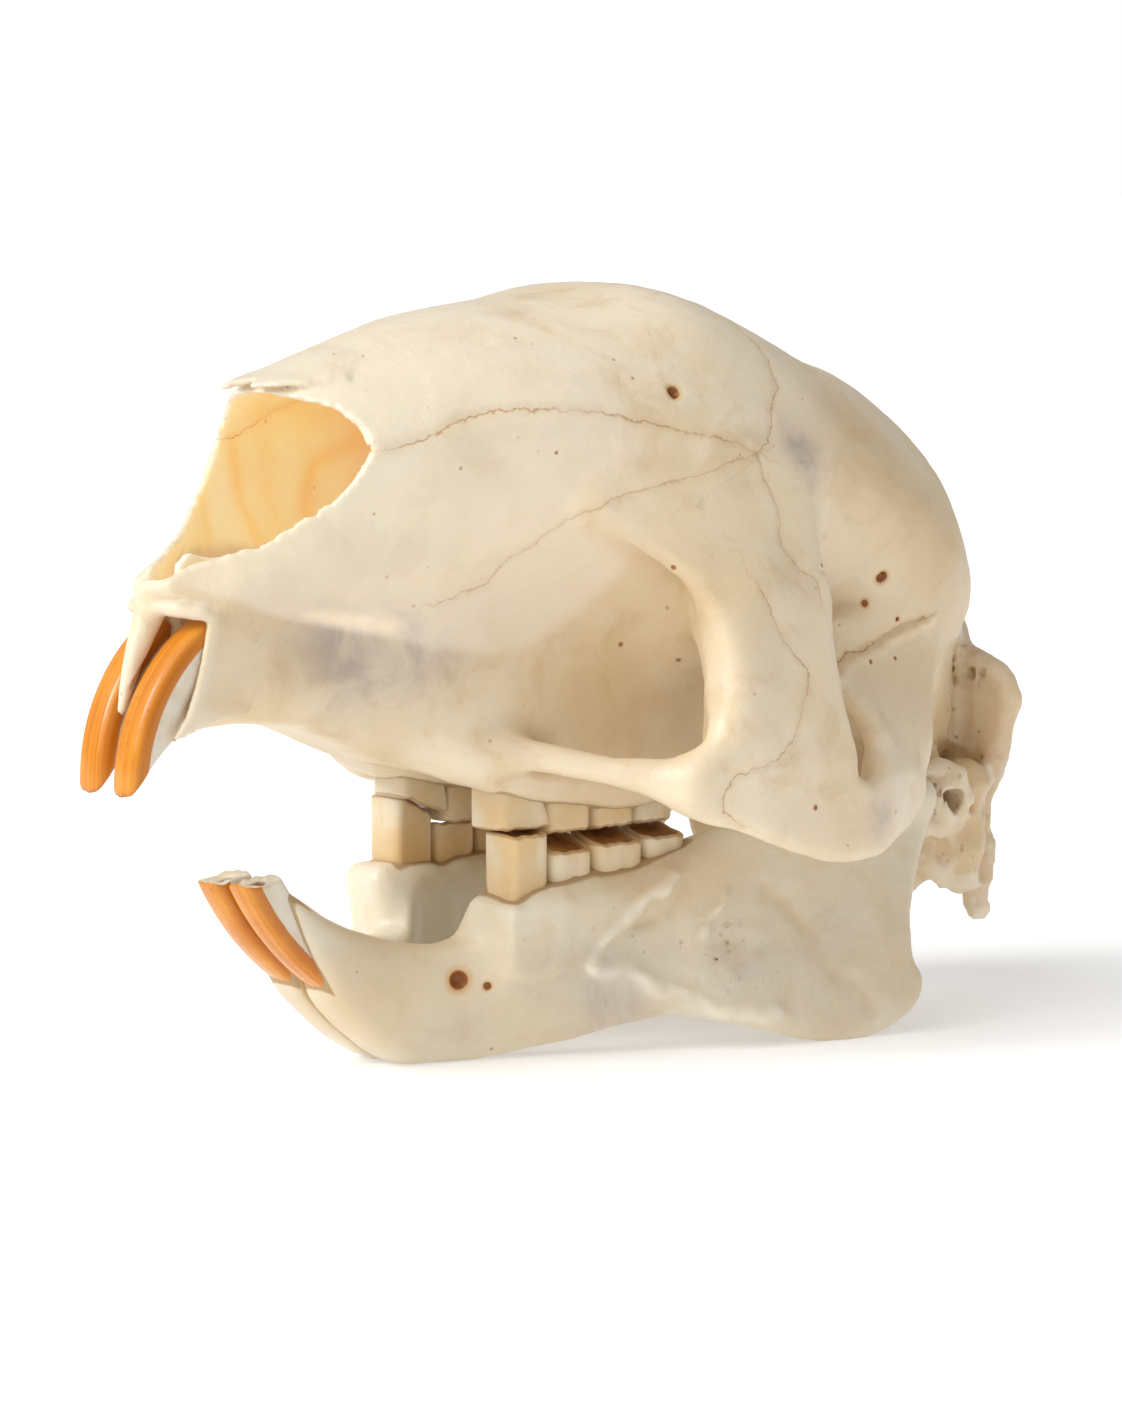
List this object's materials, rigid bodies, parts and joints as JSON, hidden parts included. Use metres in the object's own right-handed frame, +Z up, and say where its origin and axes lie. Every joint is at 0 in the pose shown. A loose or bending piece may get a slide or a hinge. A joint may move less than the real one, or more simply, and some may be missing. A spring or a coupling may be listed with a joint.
{
  "type": "rodent skull",
  "caption": "Dry porcupine-like rodent skull with its lower jaw closed beneath it: domed cranium, wide nasal opening, cheek arches, orange incisors and ridged cheek teeth.",
  "frame": {"origin": "on the table under the middle of the skull's length and width", "axes": "+Z up, the snout points along -Y, +X is the skull's left side"},
  "size_m": [0.0772, 0.1464, 0.102],
  "materials": {
    "cranium_bone": "dry bone, smooth and slightly waxy, with fine pits",
    "jaw_bone": "dry bone, smooth, pitted on the outer side",
    "incisors": "glossy orange enamel in front, pale dentine at the sides and back",
    "cheek_teeth": "satin cream enamel with brown stains at the gum and the grinding face"
  },
  "bodies": {
    "root": {"cranium": "cranium_bone", "mandible_left": "jaw_bone", "mandible_right": "jaw_bone", "upper_premolar_left": "cheek_teeth", "upper_premolar_right": "cheek_teeth", "upper_molar_1_left": "cheek_teeth", "upper_molar_1_right": "cheek_teeth", "upper_molar_2_left": "cheek_teeth", "upper_molar_2_right": "cheek_teeth", "upper_molar_3_left": "cheek_teeth", "upper_molar_3_right": "cheek_teeth", "lower_premolar_left": "cheek_teeth", "lower_premolar_right": "cheek_teeth", "lower_molar_1_left": "cheek_teeth", "lower_molar_1_right": "cheek_teeth", "lower_molar_2_left": "cheek_teeth", "lower_molar_2_right": "cheek_teeth", "lower_molar_3_left": "cheek_teeth", "lower_molar_3_right": "cheek_teeth", "upper_incisor_left": "incisors", "upper_incisor_right": "incisors", "lower_incisor_left": "incisors", "lower_incisor_right": "incisors"}
  },
  "joints": []
}
